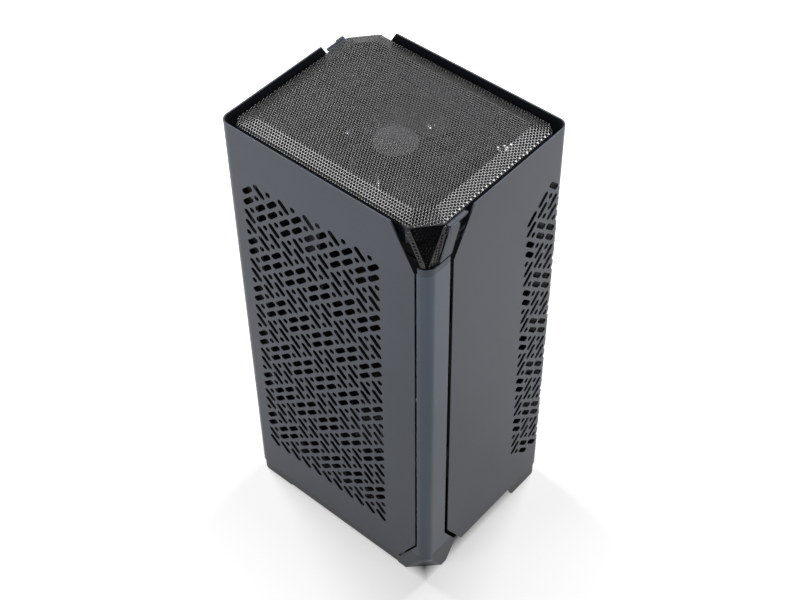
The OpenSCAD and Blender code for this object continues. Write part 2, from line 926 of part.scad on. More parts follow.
// Struts run from the hub to the frame at a slant, four in all
module fan_struts() {
    for (k = [0:3]) {
        rotate(40 + 90 * k) translate([hub_r * 0.45, 0]) rotate(20) translate([0, -2])
            square([fan_bore_r - 7, 4]);
    }
}

module fan_frame() {
    corner = 6;
    wall = 4;
    color(black_plastic) translate([fan_x, 0, 0]) difference() {
        union() {
            for (z = [fan_under, fan_top - wall]) {
                translate([0, 0, z]) linear_extrude(wall) round_rect(fan_size, fan_size, corner);
            }
            translate([0, 0, fan_under]) cylinder(h = fan_depth, r = fan_bore_r + 1.8);
            translate([0, 0, fan_under]) linear_extrude(fan_depth) fan_corners() circle(r = 4.6);
        }
        translate([0, 0, fan_under - 1]) difference() {
            cylinder(h = fan_depth + 2, r = fan_bore_r);
            translate([0, 0, fan_depth + 1 - wall]) linear_extrude(wall) fan_struts();
            translate([0, 0, fan_depth + 1 - hub_t]) cylinder(h = hub_t, r = hub_r);
            translate([0, 0, 8]) cylinder(h = fan_depth - 8, r = 4.5);
        }
        translate([0, 0, fan_top - 0.4]) cylinder(h = 1, r = hub_r - 0.8);
        translate([0, 0, fan_under]) cylinder(h = fan_depth - 5, r = shaft_r + bearing_gap);
        translate([0, 0, fan_under - 1]) linear_extrude(fan_depth + 2) fan_corners() circle(r = 2.15);
    }
}

module fan_hub_plate() {
    color(silver) translate([fan_x, 0, fan_top - 0.4]) cylinder(h = 0.4, r = hub_r - 1);
}

// Point of a blade's face: s runs out from the cup, t along the chord, side is a face
function blade_point(s, t, side) = let (
    r = cup_r - 0.8 + s * (fan_bore_r - 1.5 - cup_r + 0.8),
    sweep = 26 * s * s + (t - 0.5) * (46 - 8 * s),
    camber = 1.6 * (1 - (2 * t - 1) * (2 * t - 1)),
    z = fan_under + 10 + (t - 0.5) * (13 - 2 * s) + camber + side * 0.7)
    [r * cos(sweep), r * sin(sweep), z];

module fan_blade() {
    ns = 6;
    nt = 8;
    grid = [for (side = [-1, 1]) for (i = [0:ns]) for (j = [0:nt])
        blade_point(i / ns, j / nt, side)];
    layer = (ns + 1) * (nt + 1);
    function at(side, i, j) = side * layer + i * (nt + 1) + j;
    function quad(a, b, c, d) = [[a, b, c], [a, c, d]];
    sheets = [for (i = [0:ns - 1]) for (j = [0:nt - 1]) each concat(
        quad(at(0, i, j), at(0, i + 1, j), at(0, i + 1, j + 1), at(0, i, j + 1)),
        quad(at(1, i, j), at(1, i, j + 1), at(1, i + 1, j + 1), at(1, i + 1, j)))];
    ends = [for (j = [0:nt - 1]) each concat(
        quad(at(0, 0, j), at(0, 0, j + 1), at(1, 0, j + 1), at(1, 0, j)),
        quad(at(0, ns, j), at(1, ns, j), at(1, ns, j + 1), at(0, ns, j + 1)))];
    edges = [for (i = [0:ns - 1]) each concat(
        quad(at(0, i, 0), at(1, i, 0), at(1, i + 1, 0), at(0, i + 1, 0)),
        quad(at(0, i, nt), at(0, i + 1, nt), at(1, i + 1, nt), at(1, i, nt)))];
    polyhedron(points = grid, faces = concat(sheets, ends, edges));
}

module fan_rotor() {
    cup_top = fan_top - hub_t - 0.6;
    cup_low = fan_under + 1.5;
    color(black_plastic) translate([fan_x, 0, 0]) {
        difference() {
            translate([0, 0, cup_low]) cylinder(h = cup_top - cup_low, r = cup_r);
            translate([0, 0, cup_low + 2]) cylinder(h = fan_depth, r = cup_r - 1.6);
        }
        translate([0, 0, cup_low]) cylinder(h = fan_depth - 8, r = shaft_r);
        for (k = [0:blade_count - 1]) {
            rotate(k * 360 / blade_count) fan_blade();
        }
    }
}

module fan_screws() {
    color(silver) translate([fan_x, 0, fan_under - steel_t]) fan_corners() pan_screw(9);
}

// Plan of the mesh cover at inset from its edge, with two cut and two round corners
function cover_points(inset, cut_x, cut_y, r) = let (x = cover_x - inset, y = cover_y - inset)
    [for (side = [-1, 1]) each concat(
        [for (k = [0:6]) side * [x - r + r * cos(15 * k), y - r + r * sin(15 * k)]],
        [side * [-x + cut_x, y], side * [-x, y - cut_y]])];

module cover_plan(inset, extra_cut = 0) {
    polygon(cover_points(inset, cover_cut_x + extra_cut, cover_cut_y + extra_cut,
        cover_r - inset));
}

// Solid between rings of points, one above the other
module ring_loft(rings) {
    n = len(rings[0]);
    walls = [for (k = [0:len(rings) - 2]) for (i = [0:n - 1])
        [k * n + i, (k + 1) * n + i, (k + 1) * n + (i + 1) % n, k * n + (i + 1) % n]];
    low_face = [for (i = [0:n - 1]) i];
    high_face = [for (i = [n - 1:-1:0]) (len(rings) - 1) * n + i];
    polyhedron(points = [for (ring = rings) each ring], faces = concat(walls, [low_face, high_face]));
}

// Convex cap of the cover: its rim, its sloping border and its flat top, dropped by drop
module cover_cap(drop) {
    rim = cover_points(drop, cover_cut_x, cover_cut_y, cover_r - drop);
    top = cover_points(cover_slope, cover_cut_x * 0.65, cover_cut_y * 0.65, cover_r * 0.42);
    ring_loft([[for (p = rim) [p[0], p[1], cover_edge_z - mesh_t - drop]],
        [for (p = rim) [p[0], p[1], cover_edge_z - drop]],
        [for (p = top) [p[0], p[1], rim_z + cover_proud - drop]]]);
}

module cover_holes() {
    nx = floor((2 * cover_x - 10) / mesh_pitch);
    ny = floor((2 * cover_y - 10) / mesh_pitch);
    for (i = [0:nx]) for (j = [0:ny]) {
        x = (i - nx / 2) * mesh_pitch;
        y = (j - ny / 2) * mesh_pitch;
        reach = cover_x + cover_y - cover_cut_y - 3;
        if (abs(x) + abs(y) < reach) translate([x, y]) circle(d = mesh_hole);
    }
}

// Sheet between two rows of points, made solid by the step from its outer to inner face
module folded_sheet(upper, lower, step) {
    n = len(upper);
    points = concat(upper, lower, [for (p = upper) p + step], [for (p = lower) p + step]);
    function quad(a, b, c, d) = [[a, b, c], [a, c, d]];
    strips = [for (i = [0:n - 2]) each concat(
        quad(i, n + i, n + i + 1, i + 1),
        quad(2 * n + i, 2 * n + i + 1, 3 * n + i + 1, 3 * n + i),
        quad(i, i + 1, 2 * n + i + 1, 2 * n + i),
        quad(n + i, 3 * n + i, 3 * n + i + 1, n + i + 1))];
    ends = concat(quad(0, 2 * n, 3 * n, n), quad(n - 1, 2 * n - 1, 4 * n - 1, 3 * n - 1));
    polyhedron(points = points, faces = concat(strips, ends));
}

// The mesh folds down over the cut corner to a beak above the column
module beak() {
    top = cover_edge_z - 0.3;
    lap = 0.3;
    cut_a = cover_inset_x + cover_cut_x + lap;
    cut_b = cover_inset_y + cover_cut_y + lap;
    upper = [[cut_a + 0.4, 1.5, top], [cut_a, cover_inset_y + lap, top],
        [cover_inset_x + lap, cut_b, top], [1.4, cut_b + 1.3, top]];
    lower = [[7.4, 1.5, beak_low], [4.4, 3.6, beak_low], [3.6, 4.4, beak_low],
        [1.4, 13.5, beak_low]];
    at_front_corner() folded_sheet(upper, lower, [0.6, 0.6, -0.6]);
}

module cover_mesh() {
    color(gunmetal) {
        difference() {
            cover_cap(0);
            cover_cap(mesh_t);
            translate([0, 0, cover_edge_z - 4 * mesh_t]) linear_extrude(cover_fall + 5 * mesh_t)
                cover_holes();
        }
        beak();
        rotate([0, 0, 180]) beak();
    }
}

// Wall under the mesh's edge, with a flange that rests on the roof
module cover_frame() {
    low = roof_z + seat_gap;
    inner_x = cover_x - cover_flange - cover_wall;
    inner_y = cover_y - cover_flange - cover_wall;
    color(gunmetal) {
        difference() {
            union() {
                translate([0, 0, low]) linear_extrude(cover_wall_top - low) difference() {
                    cover_plan(0, 4);
                    cover_plan(cover_wall, 4);
                }
                translate([0, 0, low]) linear_extrude(cover_wall) difference() {
                    cover_plan(cover_wall / 2, 4);
                    square([2 * inner_x, 2 * inner_y], center = true);
                }
            }
            translate([0, 0, roof_z - through]) linear_extrude(through + 2 * cover_wall) pin_places()
                circle(r = pin_r + eps);
        }
    }
}

module cover_cheeks() {
    color(gunmetal) half_turn() {
        cover_cheek();
        nose_strip();
    }
}

// The cheek beside the beak, flush with the right panel's face, seated against the wall
module cover_cheek() {
    crest = cover_edge_z - seat_gap;
    on_side(cover_wall) polygon([[14, cheek_low], [27.3, cheek_low], [36.6, crest - 3.6],
        [35, crest], [shelf_b, crest]]);
    at_front_corner() translate([eps, shelf_b, cover_wall_top - cover_wall])
        cube([cover_inset_x - seat_gap - eps, cheek_shelf, cover_wall]);
    edge_lip(shelf_b, cheek_shelf);
}

// Ledges that carry the cheek's line on behind the right panel
module cover_edges() {
    from = shelf_b + cheek_shelf + seat_gap;
    color(gunmetal) half_turn() {
        at_front_corner() translate([edge_a, from, cover_wall_top - cover_wall])
            cube([cover_inset_x - seat_gap - edge_a, edge_end_b - from, cover_wall]);
        edge_lip(from, edge_end_b - from);
    }
}

module edge_lip(from, run) {
    low = cover_wall_top - cover_wall;
    at_front_corner() translate([edge_a, from, low])
        cube([cover_wall, run, cover_edge_z - seat_gap - low]);
}

// Strip round the nose above the column, held by a web behind the cheek
module nose_strip() {
    web_b = column_long - cover_wall - 0.6;
    translate([0, 0, strip_low]) linear_extrude(strip_top - strip_low) at_corner_2d()
        corner_ring(column_short - 0.7, column_long, cover_wall);
    at_front_corner() {
        translate([cover_wall - eps, web_b, strip_low]) cube([cover_wall, cover_wall, roof_z + 6 - strip_low]);
        translate([cover_wall - eps, web_b, roof_z + 1])
            cube([cover_inset_x - seat_gap - cover_wall, cover_wall, 5]);
    }
}

module cover_pins() {
    color(black_plastic) pin_places_3d() {
        translate([0, 0, roof_under - 4]) cylinder(h = steel_t + 4 + cover_wall + through, r = pin_r);
        translate([0, 0, roof_z + cover_wall + seat_gap]) cylinder(h = 5, r = pin_head_r - 1);
        translate([0, 0, roof_z + 6]) cylinder(h = 4, r = pin_head_r);
    }
}

module pin_places_3d() {
    for (y = [-pin_side, pin_side]) {
        translate([-pin_left, y, 0]) children();
        translate([pin_right, y, 0]) children();
    }
}

// Carrier of the button and sockets inside the rear column
module control_housing() {
    y0 = io_y - 9.2;
    y1 = io_y + 6.9;
    color(black_plastic) difference() {
        translate([io_x, y0, io_low]) cube([board_x - io_x, y1 - y0, io_high - io_low]);
        translate([-hw, io_y, button_z]) rotate([0, 90, 0])
            cylinder(h = board_x + hw - 3, d = button_d + 2);
        translate([-hw, io_y, button_z]) rotate([0, 90, 0]) cylinder(h = 2 * column_lip, d = 4);
        translate([-hw, io_y, audio_z]) rotate([0, 90, 0]) cylinder(h = 2 * column_lip, d = 6.8);
        translate([-hw, io_y, usb_c_z]) port_hole(9.4, 3.6, 1.7, 2 * column_lip);
        for (z = usb_a_zs) {
            translate([-hw, io_y, z]) port_hole(13.5, 6.1, 0.6, 2 * column_lip);
        }
    }
}

module control_board() {
    color([0.1, 0.2, 0.14]) translate([board_x, io_y - 9, io_low + 1])
        cube([1.6, 15, io_high - io_low - 2]);
}

// Button that slides in through the rear column's side face
module power_button() {
    rest = io_x + 0.2;
    color(silver) translate([-hw, io_y, button_z]) rotate([0, 90, 0]) {
        difference() {
            cylinder(h = board_x + hw - 3 - button_travel - 0.1, d = button_d);
            translate([0, 0, -eps]) difference() {
                cylinder(h = 0.3, d = button_d - 3);
                translate([0, 0, -eps]) cylinder(h = 1, d = button_d - 4);
            }
        }
        translate([0, 0, rest + hw]) cylinder(h = 1, d = button_d + 1.4);
    }
}

module button_switch() {
    color(black_plastic) translate([board_x - 3, io_y, button_z]) rotate([0, 90, 0])
        cylinder(h = 3, d = 3.4);
}

// An upright socket shell with a tongue inside, mouth on the side face
module socket_shell(long, wide, r, wall, tongue) {
    depth = board_x + hw - socket_inset;
    rotate([90, 0, 90]) {
        linear_extrude(depth) difference() {
            round_rect(wide, long, r);
            round_rect(wide - 2 * wall, long - 2 * wall, max(r - wall, 0.2));
        }
        translate([0, 0, depth - 1]) linear_extrude(1) round_rect(wide - wall, long - wall, r);
        translate([-tongue / 2, -long / 2 + 4 * wall, 1.2])
            cube([tongue, long - 8 * wall, depth - 1.2]);
    }
}

module usb_sockets() {
    color(silver) for (z = usb_a_zs) {
        translate([-hw + socket_inset, io_y, z]) socket_shell(13.1, 5.7, 0.5, 0.4, 1.9);
    }
}

module usb_c_socket() {
    color(silver) translate([-hw + socket_inset, io_y, usb_c_z])
        socket_shell(9, 3.2, 1.5, 0.35, 0.7);
}

module audio_socket() {
    color(black_plastic) translate([-hw + socket_inset, io_y, audio_z]) rotate([0, 90, 0])
        difference() {
        cylinder(h = board_x + hw - socket_inset, d = 6.4);
        translate([0, 0, -eps]) cylinder(h = 7, d = 3.6);
    }
}

// Bracket from a column's lip up to the roof
module column_bracket() {
    low = column_top - 26;
    at_front_corner() {
        translate([column_t + 0.4, column_long, low]) cube([7, steel_t, roof_under - low]);
        translate([column_t + 0.4, column_long, roof_under - steel_t]) cube([12, 14, steel_t]);
    }
}

module front_bracket() {
    color(dark_steel) column_bracket();
}

module rear_bracket() {
    color(dark_steel) rotate([0, 0, 180]) column_bracket();
}

left_panel();
right_panel();
left_panel_studs();
right_panel_studs();
front_column();
rear_column();
base_frame();
rubber_feet();
base_plate();
left_post();
right_post();
lower_deck();
divider_wall();
roof_plate();
fan_tray();
fan_frame();
fan_hub_plate();
fan_rotor();
fan_screws();
cover_frame();
cover_cheeks();
cover_edges();
cover_mesh();
cover_pins();
supply_bracket();
supply_screws();
board_standoffs();
slot_covers();
slot_screws();
mains_inlet();
inlet_screws();
control_housing();
control_board();
power_button();
usb_sockets();
usb_c_socket();
audio_socket();
button_switch();
front_bracket();
rear_bracket();
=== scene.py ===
"""Looks of an upright computer case with slotted wrap-round panels and a mesh top.

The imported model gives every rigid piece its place. This file adds the fine mesh of the top
cover, dresses every piece in a procedural finish, and sets the floor, the lamps and the camera.
Lengths are in metres.
"""

import logging
import math
from collections.abc import Callable
from dataclasses import dataclass, field
from enum import Enum

import bpy
import numpy as np
from mathutils import Matrix, Vector

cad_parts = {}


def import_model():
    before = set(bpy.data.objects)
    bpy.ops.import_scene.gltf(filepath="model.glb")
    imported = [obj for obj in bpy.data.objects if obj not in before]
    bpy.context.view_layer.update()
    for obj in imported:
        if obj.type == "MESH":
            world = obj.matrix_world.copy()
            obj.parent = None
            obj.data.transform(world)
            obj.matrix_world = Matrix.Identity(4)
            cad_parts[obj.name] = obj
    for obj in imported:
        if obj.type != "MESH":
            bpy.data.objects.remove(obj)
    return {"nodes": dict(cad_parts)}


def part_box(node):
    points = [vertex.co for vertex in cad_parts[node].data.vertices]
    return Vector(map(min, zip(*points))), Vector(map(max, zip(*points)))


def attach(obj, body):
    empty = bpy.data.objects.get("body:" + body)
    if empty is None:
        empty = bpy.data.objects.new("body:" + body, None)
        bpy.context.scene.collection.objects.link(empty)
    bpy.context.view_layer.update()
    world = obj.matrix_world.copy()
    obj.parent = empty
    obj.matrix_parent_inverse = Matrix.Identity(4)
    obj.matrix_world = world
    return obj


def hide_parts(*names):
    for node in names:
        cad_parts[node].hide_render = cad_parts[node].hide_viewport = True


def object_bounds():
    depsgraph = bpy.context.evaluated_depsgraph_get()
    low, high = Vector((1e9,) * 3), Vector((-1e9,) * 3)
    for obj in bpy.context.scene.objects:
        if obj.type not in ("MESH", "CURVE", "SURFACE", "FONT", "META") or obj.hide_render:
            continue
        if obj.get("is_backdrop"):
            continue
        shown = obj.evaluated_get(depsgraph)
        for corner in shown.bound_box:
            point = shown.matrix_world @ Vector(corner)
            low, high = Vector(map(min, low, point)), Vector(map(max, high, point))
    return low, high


LOG = logging.getLogger("case")
MM = 0.001
Lift = Callable[[np.ndarray], tuple[np.ndarray, np.ndarray]]

# Noise, roughness, and the lighter edges of wear and painted highlight, that all finishes share
MOTTLE_SIZE = 0.06
MOTTLE_DETAIL = 3.0
MOTTLE_STOPS = (0.3, 0.7)
GRAIN_DETAIL = 4.0
NOISE_FALLOFF = 0.55
ROUGHNESS_SPREAD = 0.12
COAT_ROUGHNESS = 0.2
EDGE_SAMPLES = 4
EDGE_TURN = (0.995, 0.8)
# How many times lighter edges are painted, partly as wear and partly as a painted highlight
EDGE_LIGHT_AND_WEAR_SHADE = 3.2

# Places of the colour sockets on Blender's Mix node
MIX_FIRST, MIX_SECOND, MIX_RESULT = 6, 7, 2

# Steps of the mesh work
SETTLING_ROUNDS = 3
SLOPE_STEP = 0.2 * MM
TINY = 1e-9
BANDS = ("front", "near_middle", "far_middle", "back")

WHITE = (1.0, 1.0, 1.0, 1.0)


class Grain(Enum):
    """How the surface of a finish is broken up at close range."""

    POWDER = "fine peel of a powder coat"
    ROLLED = "drawn lines of rolled sheet"
    TURNED = "fine even lines of a turned face"
    MOULDED = "spark grain of a moulding"
    LAMINATE = "weave under a lacquered board"


# How a grain is scaled along each axis, where it isn't alike along all
GRAIN_STRETCH = {Grain.ROLLED: (1.0, 24.0, 1.0), Grain.TURNED: (6.0, 6.0, 1.0)}


@dataclass(frozen=True)
class Finish:
    """One procedural finish.

    Args:
        name: Plain name of the material.
        colour: Linear colour.
        metallic: How far the surface behaves as bare metal.
        roughness: Mean roughness.
        grain: Kind of fine relief.
        grain_size: Size of the relief's grains, in metres.
        relief: Depth of the relief, in metres.
        mottle: Share by which the colour wanders over the piece.
        coat: Weight of a clear coat.
        edge_r: Radius to which edges look broken, in metres, or 0.
        edge_light_and_wear: How far the edges are painted lighter, partly as wear and partly
        as a painted highlight.
        sheen_level: How strongly a finish that isn't metal mirrors, where 0.5 is usual.
    """

    name: str
    colour: tuple[float, float, float]
    metallic: float
    roughness: float
    grain: Grain
    grain_size: float
    relief: float
    mottle: float = 0.12
    coat: float = 0.0
    edge_r: float = 0.0
    edge_light_and_wear: float = 0.0
    sheen_level: float = 0.5

    def shade(self, factor: float) -> tuple[float, float, float, float]:
        """Return the colour times factor, with full cover."""
        red, green, blue = (min(channel * factor, 1.0) for channel in self.colour)
        return (red, green, blue, 1.0)

    def stretch(self) -> tuple[float, float, float]:
        """Return how the grain is scaled along each axis."""
        return GRAIN_STRETCH.get(self.grain, (1.0, 1.0, 1.0))

    def build(self) -> bpy.types.Material:
        """Make the node material.

        Returns:
            A material whose colour, roughness and relief come from noise in Object coordinates,
            with slightly rounded edges painted lighter, partly as wear and partly as a painted
            highlight, where the finish has them.
        """
        material = bpy.data.materials.new(self.name)
        material.use_nodes = True
        tree = material.node_tree
        shader = tree.nodes["Principled BSDF"]
        shader.inputs["Metallic"].default_value = self.metallic
        shader.inputs["Specular IOR Level"].default_value = self.sheen_level
        shader.inputs["Coat Weight"].default_value = self.coat
        shader.inputs["Coat Roughness"].default_value = COAT_ROUGHNESS
        place = tree.nodes.new("ShaderNodeTexCoord")
        turn = tree.nodes.new("ShaderNodeMapping")
        turn.inputs["Scale"].default_value = self.stretch()
        tree.links.new(place.outputs["Object"], turn.inputs["Vector"])
        broad = self.noise(tree, place.outputs["Object"], 1 / MOTTLE_SIZE, MOTTLE_DETAIL)
        fine = self.noise(tree, turn.outputs["Vector"], 1 / self.grain_size, GRAIN_DETAIL)
        colour = self.ramp(tree, broad)
        spread = tree.nodes.new("ShaderNodeMapRange")
        spread.inputs["To Min"].default_value = self.roughness * (1 - ROUGHNESS_SPREAD)
        spread.inputs["To Max"].default_value = min(self.roughness * (1 + ROUGHNESS_SPREAD), 1.0)
        tree.links.new(fine, spread.inputs["Value"])
        tree.links.new(spread.outputs["Result"], shader.inputs["Roughness"])
        bump = tree.nodes.new("ShaderNodeBump")
        bump.inputs["Strength"].default_value = 1.0
        bump.inputs["Distance"].default_value = self.relief
        tree.links.new(fine, bump.inputs["Height"])
        if self.edge_r > 0:
            edge = tree.nodes.new("ShaderNodeBevel")
            edge.samples = EDGE_SAMPLES
            edge.inputs["Radius"].default_value = self.edge_r
            tree.links.new(edge.outputs["Normal"], bump.inputs["Normal"])
            # Lighter edges: partly wear, partly a painted highlight
            colour = self.paint_edge_light_and_wear(tree, colour, edge.outputs["Normal"], broad)
        tree.links.new(colour, shader.inputs["Base Color"])
        tree.links.new(bump.outputs["Normal"], shader.inputs["Normal"])
        return material

    def ramp(self, tree: bpy.types.NodeTree, height: bpy.types.NodeSocket) -> bpy.types.NodeSocket:
        """Return the mottled colour, between a darker and a lighter shade."""
        ramp = tree.nodes.new("ShaderNodeValToRGB")
        for stop, position, factor in zip(ramp.color_ramp.elements, MOTTLE_STOPS,
                                          (1 - self.mottle, 1 + self.mottle)):
            stop.position = position
            stop.color = self.shade(factor)
        tree.links.new(height, ramp.inputs["Fac"])
        return ramp.outputs["Color"]

    def paint_edge_light_and_wear(self, tree: bpy.types.NodeTree, colour: bpy.types.NodeSocket,
            rounded: bpy.types.NodeSocket, patchy: bpy.types.NodeSocket) -> bpy.types.NodeSocket:
        """Lighten the colour where the rounded normal turns from the flat one.

        Args:
            tree: Tree that the nodes join.
            colour: Socket with the plain colour.
            rounded: Socket with the normal rounded over edges.
            patchy: Socket with the height of the broad noise, which breaks the wear and the
            painted highlight up.

        Returns:
            The socket with the colour, lighter on edges as wear and as a painted highlight.
        """
        flat = tree.nodes.new("ShaderNodeNewGeometry")
        turn = tree.nodes.new("ShaderNodeVectorMath")
        turn.operation = "DOT_PRODUCT"
        tree.links.new(rounded, turn.inputs[0])
        tree.links.new(flat.outputs["Normal"], turn.inputs[1])
        mask = tree.nodes.new("ShaderNodeMapRange")
        mask.inputs["From Min"].default_value, mask.inputs["From Max"].default_value = EDGE_TURN
        mask.inputs["To Max"].default_value = self.edge_light_and_wear
        tree.links.new(turn.outputs["Value"], mask.inputs["Value"])
        broken = tree.nodes.new("ShaderNodeMath")
        broken.operation = "MULTIPLY"
        tree.links.new(mask.outputs["Result"], broken.inputs[0])
        tree.links.new(patchy, broken.inputs[1])
        mix = tree.nodes.new("ShaderNodeMix")
        mix.data_type = "RGBA"
        tree.links.new(broken.outputs[0], mix.inputs[0])
        tree.links.new(colour, mix.inputs[MIX_FIRST])
        # The lighter edge colour is partly wear and partly a painted highlight
        mix.inputs[MIX_SECOND].default_value = self.shade(EDGE_LIGHT_AND_WEAR_SHADE)
        return mix.outputs[MIX_RESULT]

    @staticmethod
    def noise(tree: bpy.types.NodeTree, vector: bpy.types.NodeSocket, scale: float,
              detail: float) -> bpy.types.NodeSocket:
        """Add a noise texture.

        Args:
            tree: Tree that the node joins.
            vector: Socket with the place on the piece.
            scale: Grains in a metre.
            detail: Octaves of finer noise.

        Returns:
            The socket with the noise's height.
        """
        node = tree.nodes.new("ShaderNodeTexNoise")
        node.inputs["Scale"].default_value = scale
        node.inputs["Detail"].default_value = detail
        node.inputs["Roughness"].default_value = NOISE_FALLOFF
        tree.links.new(vector, node.inputs["Vector"])
        return node.outputs["Fac"]


GUNMETAL = Finish("gunmetal powder coat", (0.037, 0.044, 0.057), 0.6, 0.42, Grain.POWDER,
                  0.0009, 0.00003, 0.06, edge_r=0.0005, edge_light_and_wear=0.45)
COLUMN_COAT = Finish("gunmetal column coat", (0.05, 0.061, 0.079), 0.9, 0.26, Grain.POWDER,
                     0.0007, 0.000008, 0.05, edge_r=0.0005, edge_light_and_wear=0.5)
BASE_COAT = Finish("gunmetal moulding", (0.022, 0.026, 0.033), 0.4, 0.42, Grain.MOULDED,
                   0.0006, 0.00003, 0.06, edge_r=0.0006, edge_light_and_wear=0.5)
MESH_COAT = Finish("mesh coat", (0.05, 0.05, 0.05), 1.0, 0.2, Grain.POWDER,
                   0.0006, 0.000004, 0.05)
# Near-black colour painted on the beaks' middle facets as shade, where they turn away from the
# light
FACET_PAINTED_SHADE = Finish("beak painted shade", (0.003, 0.003, 0.0033), 1.0, 0.3, Grain.POWDER,
                    0.0006, 0.000004, 0.05)
CHASSIS_COAT = Finish("black chassis coat", (0.005, 0.0053, 0.0056), 0.0, 0.55, Grain.POWDER,
                      0.0008, 0.00005, sheen_level=0.15)
ROOF_COAT = Finish("slate roof coat", (0.016, 0.019, 0.023), 0.3, 0.45, Grain.ROLLED,
                   0.004, 0.00002, 0.1)
PLATED = Finish("plated steel", (0.4, 0.41, 0.43), 1.0, 0.28, Grain.TURNED,
                0.0008, 0.00001, 0.06)
BLACKENED = Finish("blackened steel", (0.03, 0.03, 0.032), 1.0, 0.35, Grain.TURNED,
                   0.0006, 0.00001, 0.06)
BLACK_MOULDING = Finish("black moulding", (0.009, 0.009, 0.01), 0.0, 0.38, Grain.MOULDED,
                        0.0005, 0.00002, edge_r=0.0005, edge_light_and_wear=0.5, sheen_level=0.3)
RUBBER = Finish("foot rubber", (0.012, 0.012, 0.012), 0.0, 0.8, Grain.MOULDED, 0.0012, 0.00008)
BOARD_GREEN = Finish("board lacquer", (0.012, 0.05, 0.022), 0.0, 0.3, Grain.LAMINATE,
                     0.0011, 0.00002, 0.2, 0.4)
BUTTON_METAL = Finish("turned button metal", (0.3, 0.31, 0.33), 1.0, 0.3, Grain.TURNED,
                      0.0006, 0.00001, 0.05)

DRESS: dict[Finish, list[str]] = {
    GUNMETAL: ["left_panel", "right_panel", "cover_frame", "cover_cheeks", "cover_edges",
               "cover_mesh"],
    COLUMN_COAT: ["front_column", "rear_column"],
    BASE_COAT: ["base_frame"],
    CHASSIS_COAT: ["base_plate", "left_post", "right_post", "lower_deck", "divider_wall",
                   "fan_tray", "supply_bracket", "slot_covers", "front_bracket", "rear_bracket"],
    ROOF_COAT: ["roof_plate"],
    PLATED: ["left_panel_studs", "right_panel_studs", "fan_hub_plate", "board_standoffs",
             "usb_sockets", "usb_c_socket"],
    BLACKENED: ["fan_screws", "supply_screws", "slot_screws", "inlet_screws"],
    BLACK_MOULDING: ["fan_frame", "fan_rotor", "cover_pins", "mains_inlet", "control_housing",
                     "audio_socket", "button_switch"],
    RUBBER: ["rubber_feet"],
    BOARD_GREEN: ["control_board"],
    BUTTON_METAL: ["power_button"],
}


def add_mesh(name: str, points: np.ndarray, faces: np.ndarray, finish: bpy.types.Material,
             body: str) -> bpy.types.Object:
    """Put a mesh of equal-sided faces into the scene.

    Args:
        name: Name of the new piece.
        points: Corner places, one row each.
        faces: Corner numbers, one face a row, pointing outwards.
        finish: Material of the piece.
        body: Body that the piece rides on.

    Returns:
        The new object, at the origin.
    """
    mesh = bpy.data.meshes.new(name)
    count, sides = faces.shape
    mesh.vertices.add(len(points))
    mesh.vertices.foreach_set("co", points.astype(np.float32).ravel())
    mesh.loops.add(count * sides)
    mesh.loops.foreach_set("vertex_index", faces.astype(np.int32).ravel())
    mesh.polygons.add(count)
    mesh.polygons.foreach_set("loop_start", np.arange(0, count * sides, sides, dtype=np.int32))
    mesh.update(calc_edges=True)
    mesh.validate()
    mesh.materials.append(finish)
    piece = bpy.data.objects.new(name, mesh)
    bpy.context.scene.collection.objects.link(piece)
    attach(piece, body)
    LOG.info("%s: %d faces on %s", name, count, body)
    return piece


def halved(quads: np.ndarray) -> np.ndarray:
    """Return the two triangles of each four-sided face."""
    return np.concatenate([quads[:, [0, 1, 2]], quads[:, [0, 2, 3]]])


@dataclass(frozen=True)
class Outline:
    """A convex outline in a plane, anticlockwise, one corner a row."""

    corners: np.ndarray

    def sides(self) -> tuple[np.ndarray, np.ndarray]:
        """Return each side's outward unit normal and its distance from the origin."""
        along = np.roll(self.corners, -1, axis=0) - self.corners
        normal = np.stack([along[:, 1], -along[:, 0]], -1)
        normal /= np.linalg.norm(normal, axis=1, keepdims=True)
        return normal, np.einsum("ij,ij->i", normal, self.corners)

    def outside(self, places: np.ndarray) -> np.ndarray:
        """Return how far each place lies outside, which is the most that any side leaves it out.

        Args:
            places: Places in the plane, in the last axis.

        Returns:
            Distances, negative inside.
        """
        normal, reach = self.sides()
        return (places @ normal.T - reach).max(-1)

    def onto(self, places: np.ndarray) -> np.ndarray:
        """Move each place straight onto the side that it lies nearest to or furthest beyond.

        Args:
            places: Places in the plane, in the last axis.

        Returns:
            The places, then moved back where another side left them out.
        """
        normal, reach = self.sides()
        left_out = places @ normal.T - reach
        worst = left_out.argmax(-1)
        moved = places - np.take_along_axis(left_out, worst[..., None], -1) * normal[worst]
        for _ in range(SETTLING_ROUNDS):
            left_out = moved @ normal.T - reach
            worst = left_out.argmax(-1)
            over = np.maximum(np.take_along_axis(left_out, worst[..., None], -1), 0)
            moved = moved - over * normal[worst]
        return moved


